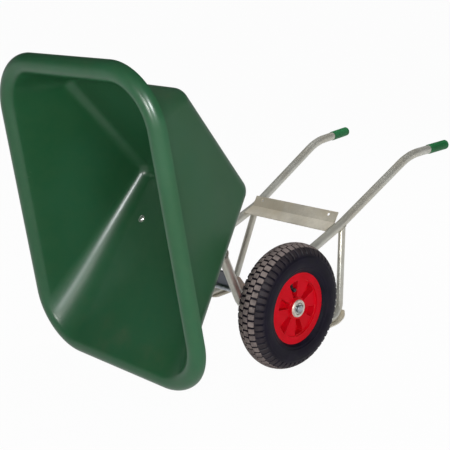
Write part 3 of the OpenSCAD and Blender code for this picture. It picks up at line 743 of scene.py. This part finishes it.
def outline_side(points, reach):
    """The outer side, from bottom to top, of the convex outline of points with that reach."""
    order = sorted(range(len(points)), key=lambda i: (points[i][2], reach[i]))
    chain = []
    for i in order:
        while len(chain) > 1:
            a, b = chain[-2:]
            rise = points[i][2] - points[a][2]
            if (reach[b] - reach[a]) * rise <= (reach[i] - reach[a]) * (points[b][2] - points[a][2]):
                chain.pop()
            else:
                break
        chain.append(i)
    return np.array([points[i] for i in chain])


def outward(k):
    """Level direction in which one column of the tub's skin faces."""
    turn = 2 * math.pi * (k + 0.5) / TUB_DIRECTIONS
    return np.array((math.cos(turn), math.sin(turn), 0.0))


def rim_point(out, inset):
    """The point of the rim that reaches furthest that way, moved in by inset, at the bead's middle height."""
    centre, radius = max(RIM_CORNERS, key=lambda corner: corner[0] @ Vector(out[:2]) + corner[1])
    return np.array((centre.x, centre.y, 0.0)) + (radius - inset) * out


def wall_side(out, shrink):
    """One column of the wall, from the floor up to the skirt, shrunk by that much."""
    points = []
    for centre, radius in RIM_CORNERS:
        points.append(np.array((centre.x, centre.y, -SKIRT_HEIGHT)) + (radius - WALL_INSET - shrink) * out)
    for ball in FLOOR_BALLS:
        for a in np.radians(np.linspace(-90, 90, BALL_STEPS)):
            points.append(np.array(ball) + (FLOOR_RADIUS - shrink) * (math.cos(a) * out + math.sin(a) * UP))
    return outline_side(points, [point @ out for point in points])


def ring_by_ring(columns):
    """Turns columns of points, each from end to end of the skin, into rings."""
    return [list(ring) for ring in zip(*columns)]


def wall_rings(levels, shrink):
    """Rings of the tub's wall at those heights, shrunk by that much."""
    columns = []
    for k in range(TUB_DIRECTIONS):
        side = wall_side(outward(k), shrink)
        x = np.interp(levels, side[:, 2], side[:, 0])
        y = np.interp(levels, side[:, 2], side[:, 1])
        columns.append(np.stack((x, y, levels), axis=1))
    return ring_by_ring(columns)


def flare_rings(drop):
    """Rings of the inside from the wall's flare up over the bead, each column rolling smoothly into it."""
    columns = []
    for k in range(TUB_DIRECTIONS):
        out = outward(k)
        foot, top = wall_side(out, TUB_WALL)[-2:]
        share = max((FLARE_START - foot[2]) / (top[2] - foot[2]), FLARE_LEAST_SHARE)
        start = foot + share * (top - foot)
        bend = (start + top) / 2
        middle = rim_point(out, BEAD_RADIUS)
        reach = (middle - bend) @ out
        rise = (middle - bend)[2]
        slope = math.atan2(rise, reach) + math.asin(BEAD_RADIUS / math.hypot(reach, rise))
        arc = [middle + BEAD_RADIUS * (math.cos(a) * out + math.sin(a) * UP)
               for a in np.linspace(math.pi / 2 + slope, -drop, BEAD_STEPS)]
        flare = [(1 - t) ** 2 * start + 2 * t * (1 - t) * bend + t * t * arc[0]
                 for t in np.linspace(0, 1, FLARE_STEPS)]
        columns.append(flare + arc[1:])
    return ring_by_ring(columns)


def wall_levels(shrink):
    """Heights from the deepest point up to the skirt, closer together along the two rounded floor edges."""
    radius = FLOOR_RADIUS - shrink
    bottom = DEEP_BALL.z - radius
    rise = -SKIRT_HEIGHT - bottom
    levels = bottom + rise * (1 - np.cos(np.linspace(0, math.pi / 2, TUB_LEVELS)))
    heel = HEEL_BALL.z - radius * np.cos(np.linspace(*HEEL_ARC, HEEL_LEVELS))
    return np.unique(np.round(np.concatenate((levels, heel)), 6))


def bead_arc(radius, start, end):
    """Rings along an arc of the bead's section, where 0 points outwards and a quarter turn up."""
    return [[rim_point(outward(k), BEAD_RADIUS - radius * math.cos(a)) + radius * math.sin(a) * UP
             for k in range(TUB_DIRECTIONS)] for a in np.linspace(start, end, BEAD_STEPS)]


def tipped(rings):
    """Turns the tub to its tipped pose and seats it where the CAD tub stands."""
    turn = Matrix.Rotation(TIP_ANGLE, 3, "Y")
    moved = np.array([[turn @ Vector(point) for point in ring] for ring in rings])
    low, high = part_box("tub")
    flat = moved.reshape(-1, 3)
    shift = (np.array(low) + np.array(high)) / 2 - (flat.min(0) + flat.max(0)) / 2
    shift[1] = 0.0
    return moved + shift


def make_tub():
    """The whole moulding as one skin: outside, under the bead, over it and down the inside."""
    drop = math.asin(SKIRT_HEIGHT / BEAD_RADIUS)
    rings = wall_rings(wall_levels(0.0), 0.0)
    outside = (len(rings) - 1) * TUB_DIRECTIONS
    rings += bead_arc(BEAD_RADIUS - TUB_WALL, math.pi, -drop)
    rings += flare_rings(drop)[::-1]
    levels = wall_levels(TUB_WALL)
    rings += wall_rings(levels[levels < FLARE_START][::-1], TUB_WALL)
    made = piece("tub_shell", *loft(tipped(rings), False), TUB_GREEN, SHELL_CREASE)
    made.data.materials.append(TUB_OUTSIDE)
    for face in made.data.polygons[:outside]:
        face.material_index = 1
    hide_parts("tub")
    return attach(made, "tub")


def make_pads():
    """The two moulded pads that the hinge straps bear on, as rounded blocks."""
    turn = Matrix.Translation(pivot) @ Matrix.Rotation(PAD_TURN, 4, "Y")
    stretch = Matrix.Diagonal((*(PAD_HIGH - PAD_LOW), 1.0))
    shape = bmesh.new()
    for sign in SIGNS:
        block = bmesh.ops.create_cube(shape, size=1.0)["verts"]
        centre = (PAD_HIGH + PAD_LOW) / 2 + Vector((0, sign * STRAP_GAP / 2, 0))
        bmesh.ops.transform(shape, matrix=turn @ Matrix.Translation(centre) @ stretch, verts=block)
    edges = shape.edges[:]
    bmesh.ops.bevel(shape, geom=edges, offset=PAD_ROUND, segments=PAD_ROUND_STEPS, affect="EDGES")
    made = shaded("tub_pads", shape, TUB_GREEN, PLAIN_CREASE)
    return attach(made, "tub")


make_tub()
make_pads()


# Gussets and welds

def side_point(spot, y):
    """A point of the frame's side view at that y, in the part's frame."""
    return Vector((spot[0] + axle_x, y, spot[1]))


def about_axle(distance, angle, y):
    """A point at that distance and angle from the axle's line."""
    return side_point((distance * math.cos(angle), axle_z + distance * math.sin(angle)), y)


def outline_reach(corners, angle):
    """Distance from the axle to the outline around it, in that direction."""
    way = Vector((math.cos(angle), math.sin(angle)))
    best = 0.0
    for a, b in zip(corners, corners[1:] + corners[:1]):
        edge = b - a
        cross = way.x * edge.y - way.y * edge.x
        if abs(cross) < PARALLEL:
            continue
        share = (a.x * way.y - a.y * way.x) / cross
        if -SHARE_SLACK <= share <= 1 + SHARE_SLACK:
            best = max(best, (a + share * edge).dot(way))
    return best


def make_gusset(side, sign):
    """A gusset plate: its outline seen from the axle, with the axle's hole through it."""
    hub = Vector((0.0, axle_z))
    corners = [Vector(corner) - hub for corner in GUSSET_OUTLINE]
    angles = [math.atan2(corner.y, corner.x) for corner in corners]
    angles += list(np.linspace(-math.pi, math.pi, GUSSET_SPOKES, endpoint=False))
    angles.sort()
    edge = [outline_reach(corners, angle) for angle in angles]
    hole = [AXLE_RADIUS + GUSSET_GAP] * len(angles)
    near = sign * (TUBE_GAP / 2 - TUBE_RADIUS - GUSSET_GAP)
    far = near - sign * GUSSET_THICK
    rings = [[about_axle(distance, angle, y) for distance, angle in zip(distances, angles)]
             for y, distances in ((near, hole), (near, edge), (far, edge), (far, hole))]
    made = piece("gusset_plate_" + side, *loft(rings, True), PLATE_ZINC, PLATE_CREASE)
    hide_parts("axle_gusset_" + side)
    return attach(made, "frame")


def weld(name, path, closed=False):
    """A rippled bead of weld metal along a path of points."""
    steps = []
    for a, b in zip(path, path[1:] + path[:1] if closed else path[1:]):
        count = max(1, round((b - a).length / (RIPPLE_LENGTH / RIPPLE_STEPS)))
        steps += [a.lerp(b, k / count) for k in range(count)]
    if not closed:
        steps.append(path[-1])
    rings = []
    last = len(steps) - 1
    for k, spot in enumerate(steps):
        after = steps[(k + 1) % len(steps)] if closed else steps[min(k + 1, last)]
        before = steps[k - 1] if closed else steps[max(k - 1, 0)]
        along = (after - before).normalized()
        across = along.orthogonal().normalized()
        swell = WELD_RADIUS * (1.0 + RIPPLE_SWELL * math.cos(2 * math.pi * k / RIPPLE_STEPS))
        if not closed and k in (0, last):
            swell *= WELD_END_SHARE
        rings.append(circle(spot, swell, across, along.cross(across), WELD_SIDES))
    skin = loft(rings, True) if closed else capped(rings)
    made = piece(name, *skin, WELD_METAL, WELD_CREASE)
    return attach(made, "frame")


def saddle(foot, heading, radius, seat, seat_heading, seat_radius):
    """Points where a round tube from a foot meets the round tube that it stands on."""
    across = heading.orthogonal().normalized()
    slant = heading - heading.dot(seat_heading) * seat_heading
    points = []
    for rim in circle(foot, radius, across, heading.cross(across), SADDLE_POINTS):
        off = (rim - seat) - (rim - seat).dot(seat_heading) * seat_heading
        half = off.dot(slant) / slant.length_squared
        root = max(0.0, half * half - (off.length_squared - seat_radius ** 2) / slant.length_squared)
        points.append(rim + (math.sqrt(root) - half) * heading)
    return points


def weld_leg(side, sign):
    """The weld round a leg's top, where it meets the side tube."""
    knee = side_point(KNEE, sign * TUBE_GAP / 2)
    top = side_point(LEG_TOP, sign * TUBE_GAP / 2)
    down = (side_point(LEG_HEEL, sign * LEG_HEEL_GAP / 2) - top).normalized()
    handle = (side_point(BEND, sign * BEND_GAP / 2) - knee).normalized()
    weld("weld_leg_" + side, saddle(top, down, LEG_RADIUS, knee, handle, TUBE_RADIUS), True)


def weld_crossbar(side, sign):
    """The weld round a riser's top, where it meets the front crossbar."""
    top = side_point(RISER_TOP, sign * TUBE_GAP / 2)
    down = (side_point(NOSE, sign * TUBE_GAP / 2) - top).normalized()
    weld("weld_crossbar_" + side, saddle(top, down, TUBE_RADIUS, pivot, CROSSWAYS, TUBE_RADIUS), True)


def weld_gusset_and_plate(side, sign):
    """The welds of a gusset to its tube and to the axle, and of the cross plate's end to the tube."""
    back = (Vector(KNEE) - NOSE).normalized()
    rise = (RISER_TOP - NOSE).normalized()
    edge = sign * (TUBE_GAP / 2 - TUBE_RADIUS - GUSSET_THICK)
    corner = [NOSE + back * GUSSET_WELD_BACK, NOSE + back * GUSSET_WELD_START]
    corner += [NOSE + rise * GUSSET_WELD_START, NOSE + rise * GUSSET_WELD_UP]
    weld("weld_gusset_" + side, [side_point(spot, edge) for spot in corner])
    ring = [about_axle(AXLE_RADIUS, angle, edge) for angle in turns(AXLE_WELD_POINTS)]
    weld("weld_axle_" + side, ring, True)
    seam = (PLATE_FOLD, PLATE_FOLD - back * PLATE_LOW)
    weld("weld_plate_" + side, [side_point(spot, sign * PLATE_LENGTH / 2) for spot in seam])


for frame_side, frame_sign in SIDES:
    weld_leg(frame_side, frame_sign)
    weld_crossbar(frame_side, frame_sign)
    make_gusset(frame_side, frame_sign)
    weld_gusset_and_plate(frame_side, frame_sign)


# Tyres and valves

def wheel_middle(side):
    """Middle of a wheel, from its joint."""
    return Vector(joints["wheel_" + side + "_spin"]["pos_m"])


def crown_radius(width):
    """Radius of the tread's surface at that distance from the tyre's middle."""
    return CROWN_MIDDLE + math.sqrt(CROWN_RADIUS ** 2 - width ** 2)


def tyre_wall_width(radius):
    """Distance of the tyre's wall from its middle at that radius, with the moulded ridges."""
    ridge = sum(height * math.exp(-((radius - at) / width) ** 2) for at, height, width in TYRE_RIDGES)
    return TYRE_WIDTH / 2 - TYRE_BULGE + math.sqrt(TYRE_BULGE ** 2 - (radius - TYRE_MIDDLE) ** 2) + ridge


def row_section(index, row):
    """Section of one row of the tread, with the bottom of the groove on each side that has one."""
    inner = row - ROW_HALF
    outer = row + ROW_HALF
    grooves = (inner - GROOVE_SLOPE, outer + GROOVE_SLOPE)
    if index == 0:
        widths = (-TREAD_EDGE, row, outer, grooves[1])
    elif index == LAST_ROW:
        widths = (grooves[0], inner, row, TREAD_EDGE)
    else:
        widths = (grooves[0], inner, row - ROW_HALF / 3, row + ROW_HALF / 3, outer, grooves[1])
    section = []
    for width in widths:
        if width in grooves:
            section.append((crown_radius(width) - TREAD_DEPTH, width, None))
        else:
            section.append((crown_radius(width), width, index))
    return section


def tyre_section():
    """Section of the tyre from one bead over the tread to the other: radius, width, and tread row or None."""
    half = [(radius, width, None) for radius, width in TYRE_BEAD]
    half += [(radius, tyre_wall_width(radius), None) for radius in TYRE_WALL_RADII]
    half += [(radius, tyre_wall_width(radius), LAST_ROW) for radius in TYRE_SHOULDER_RADII]
    other = [(radius, -width, None if row is None else 0) for radius, width, row in half]
    rows = [point for index, row in enumerate(TREAD_ROWS) for point in row_section(index, row)]
    return other + rows + half[::-1]


def between_blocks(radius, width, row):
    """A point of the section, sunk into the cut between two blocks of its row."""
    spot = Vector((radius, width))
    out = (spot - CUT_MIDDLE).normalized()
    return spot - TREAD_DEPTH * (OUTER_CUT if row in (0, LAST_ROW) else INNER_CUT) * out


def make_tyre(side):
    """A tyre as one skin: its section turned about the axle, with blocks cut into its rows."""
    section = tyre_section()
    centre = wheel_middle(side)
    steps = TREAD_PITCHES * STEPS_PER_PITCH
    rings = []
    for k in range(steps):
        turn = 2 * math.pi * k / steps
        ring = []
        for radius, width, row in section:
            if row is not None:
                phase = (k + (row % 2) * STEPS_PER_PITCH // 2) % STEPS_PER_PITCH
                if phase < CUT_STEPS:
                    radius, width = between_blocks(radius, width, row)
            x = centre.x + radius * math.cos(turn)
            z = centre.z + radius * math.sin(turn)
            ring.append((x, centre.y + width, z))
        rings.append(ring)
    made = piece("tyre_tread_" + side, *loft(rings, True), TYRE_BLACK, TREAD_CREASE)
    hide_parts("tyre_" + side)
    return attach(made, "wheel_" + side)


def make_valve_tip(side, sign):
    """The valve's end, bent outwards in its pocket, with a ribbed cap."""
    centre = wheel_middle(side)
    radial = Vector((math.cos(VALVE_TURN), 0.0, math.sin(VALVE_TURN)))
    level = Vector((-math.sin(VALVE_TURN), 0.0, math.cos(VALVE_TURN)))
    path = [centre + away * radial + Vector((0.0, sign * y, 0.0)) for away, y, _, _ in VALVE_PATH]
    rings = []
    for k, (_, _, radius, rib) in enumerate(VALVE_PATH):
        along = (path[min(k + 1, len(path) - 1)] - path[max(k - 1, 0)]).normalized()
        rise = along.cross(level)
        rings.append([path[k] + (radius + rib * (i % 2)) * (math.cos(a) * level + math.sin(a) * rise)
                      for i, a in enumerate(turns(VALVE_SIDES))])
    made = piece("valve_tip_" + side, *capped(rings), TUBE_BLACK, PLAIN_CREASE)
    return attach(made, "wheel_" + side)


for wheel_side, wheel_sign in SIDES:
    make_tyre(wheel_side)
    make_valve_tip(wheel_side, wheel_sign)


# Studio

WHITE = (1.0, 1.0, 1.0, 1.0)
SOFT_LIGHT = (0.92, 0.96, 1.0, 1.0)
SOFT_LEVEL = 0.25

# What reflections see of the world: it fades with height, and away from its bright side
SHINE_LIGHT = (0.97, 0.98, 1.0, 1.0)
SHINE_HEIGHTS = (0.0, 0.40)
SHINE_LEVELS = (0.95, 0.12)
BRIGHT_SIDE = (0.45, 0.89, 0.0)
BRIGHT_FADE = (-0.2, 0.9)
BRIGHT_LEVELS = (0.45, 1.0)

# Floor: its reach and paper tone, and how white the camera and reflections see it
FLOOR_REACH = 30.0
FLOOR_PAPER = (0.72, 0.72, 0.72, 1.0)
FLOOR_SHOWN = 0.97
FLOOR_IN_SHINE = 0.6

# Lamps: the points that they look at, and the place of the window lamp from the tub's far corner
ABOVE_AXLE = Vector((0.2, 0.0, 0.4))
TUB_CORNER = Vector((0.5, -0.28, 0.32))
BETWEEN_HANDLES = Vector((-0.5, 0.0, 0.3))
WINDOW_DISTANCE = 3.0
WINDOW_HEADING = math.radians(52.0)
WINDOW_LIFT = math.radians(28.0)


def studio_world():
    """Soft even light that the camera sees as white."""
    world = bpy.data.worlds.new("studio")
    bpy.context.scene.world = world
    world.use_nodes = True
    tree = world.node_tree
    tree.nodes.clear()
    path = add(tree, "LightPath").outputs
    seen = math_node(tree, "MAXIMUM", path["Is Camera Ray"], path["Is Transmission Ray"])
    toward = add(tree, "TexCoord").outputs["Generated"]
    height = add(tree, "SeparateXYZ", vector=toward).outputs["Z"]
    side = vector_node(tree, "DOT_PRODUCT", toward, BRIGHT_SIDE)["Value"]
    by_height = spread(tree, height, *SHINE_HEIGHTS, *SHINE_LEVELS)
    level = times(tree, by_height, spread(tree, side, *BRIGHT_FADE, *BRIGHT_LEVELS))
    soft = add(tree, "Background", color=SOFT_LIGHT, strength=SOFT_LEVEL).outputs[0]
    shiny = add(tree, "Background", color=SHINE_LIGHT, strength=level).outputs[0]
    white = add(tree, "Background", color=WHITE, strength=1.0).outputs[0]
    lit = mix_shaders(tree, path["Is Glossy Ray"], soft, shiny)
    shown = mix_shaders(tree, seen, lit, white)
    tree.links.new(shown, add(tree, "OutputWorld").inputs[0])


def studio_floor():
    """A pale floor that keeps a soft shadow and shows white around it."""
    mesh = bpy.data.meshes.new("floor")
    corners = [(FLOOR_REACH * x, FLOOR_REACH * y, 0.0) for x, y in ((-1, -1), (1, -1), (1, 1), (-1, 1))]
    mesh.from_pydata(corners, [], [(0, 1, 2, 3)])
    made = bpy.data.materials.new("floor_white")
    made.use_nodes = True
    tree = made.node_tree
    tree.nodes.clear()
    path = add(tree, "LightPath").outputs
    paper = add(tree, "BsdfDiffuse", color=FLOOR_PAPER).outputs[0]
    glow = add(tree, "Emission", color=WHITE, strength=1.0).outputs[0]
    seen = math_node(tree, "MAXIMUM", path["Is Camera Ray"], path["Is Transmission Ray"])
    seen = math_node(tree, "MAXIMUM", seen, times(tree, path["Is Glossy Ray"], FLOOR_IN_SHINE))
    shown = mix_shaders(tree, times(tree, seen, FLOOR_SHOWN), paper, glow)
    tree.links.new(shown, add(tree, "OutputMaterial").inputs[0])
    made.cycles.emission_sampling = "NONE"
    mesh.materials.append(made)
    show("floor", mesh)


def softbox(name, place, target, size, power, gives, tint=(1.0, 1.0, 1.0)):
    """An area lamp that looks at a point and gives either fill or shine."""
    lamp = bpy.data.lights.new(name, "AREA")
    lamp.shape = "RECTANGLE"
    lamp.size, lamp.size_y = size
    lamp.energy = power
    lamp.color = tint
    made = show(name, lamp)
    made.location = place
    made.rotation_euler = (target - Vector(place)).to_track_quat("-Z", "Y").to_euler()
    made.visible_camera = False
    made.visible_glossy = gives != "fill"
    made.visible_diffuse = gives != "shine"


def studio_lamps():
    """Two small lamps for the shine, and five wide ones for the fill."""
    turn = Matrix.Rotation(WINDOW_HEADING, 3, "Z") @ Matrix.Rotation(-WINDOW_LIFT, 3, "Y")
    window = TUB_CORNER + turn @ Vector((WINDOW_DISTANCE, 0.0, 0.0))
    softbox("key_box", place=(3.0, 0.85, 1.25), target=ABOVE_AXLE, size=(0.24, 0.24),
            power=34.0, gives="shine", tint=(1.0, 0.98, 0.96))
    softbox("window_box", place=window, target=TUB_CORNER, size=(0.24, 0.24),
            power=50.0, gives="shine", tint=(0.96, 0.98, 1.0))
    softbox("front_fill", place=(3.0, 0.6, 1.3), target=ABOVE_AXLE, size=(1.6, 1.6),
            power=18.0, gives="fill")
    softbox("corner_fill", place=(2.15, 2.5, 0.85), target=TUB_CORNER, size=(1.4, 1.0),
            power=36.0, gives="fill")
    softbox("side_fill", place=(1.2, 3.6, 1.5), target=ABOVE_AXLE, size=(1.8, 1.4),
            power=12.0, gives="fill")
    softbox("rim_fill", place=(-2.6, -1.6, 2.4), target=ABOVE_AXLE, size=(1.4, 1.4),
            power=15.0, gives="fill")
    softbox("top_fill", place=(-0.8, -0.25, 1.9), target=BETWEEN_HANDLES, size=(1.2, 1.2),
            power=13.0, gives="fill")


def studio_camera():
    """The camera at the photograph's viewing angle."""
    ahead = Vector((math.cos(CAMERA_HEADING) * math.cos(CAMERA_PITCH),
                    math.sin(CAMERA_HEADING) * math.cos(CAMERA_PITCH), -math.sin(CAMERA_PITCH)))
    level = Vector((math.sin(CAMERA_HEADING), -math.cos(CAMERA_HEADING), 0.0))
    top = level.cross(ahead)
    right = math.cos(CAMERA_ROLL) * level + math.sin(CAMERA_ROLL) * top
    up = right.cross(ahead)
    data = bpy.data.cameras.new("camera")
    data.sensor_width = SENSOR_MM
    data.lens = FOCAL_PIXELS / IMAGE_PIXELS * SENSOR_MM
    made = show("camera", data)
    turn = Matrix((right, up, -ahead)).transposed().to_4x4()
    made.matrix_world = Matrix.Translation(CAMERA_FROM_AXLE + Vector((axle_x, 0, 0))) @ turn
    bpy.context.scene.camera = made


studio_world()
studio_floor()
studio_camera()
studio_lamps()

bpy.context.scene.view_settings.view_transform = "Standard"
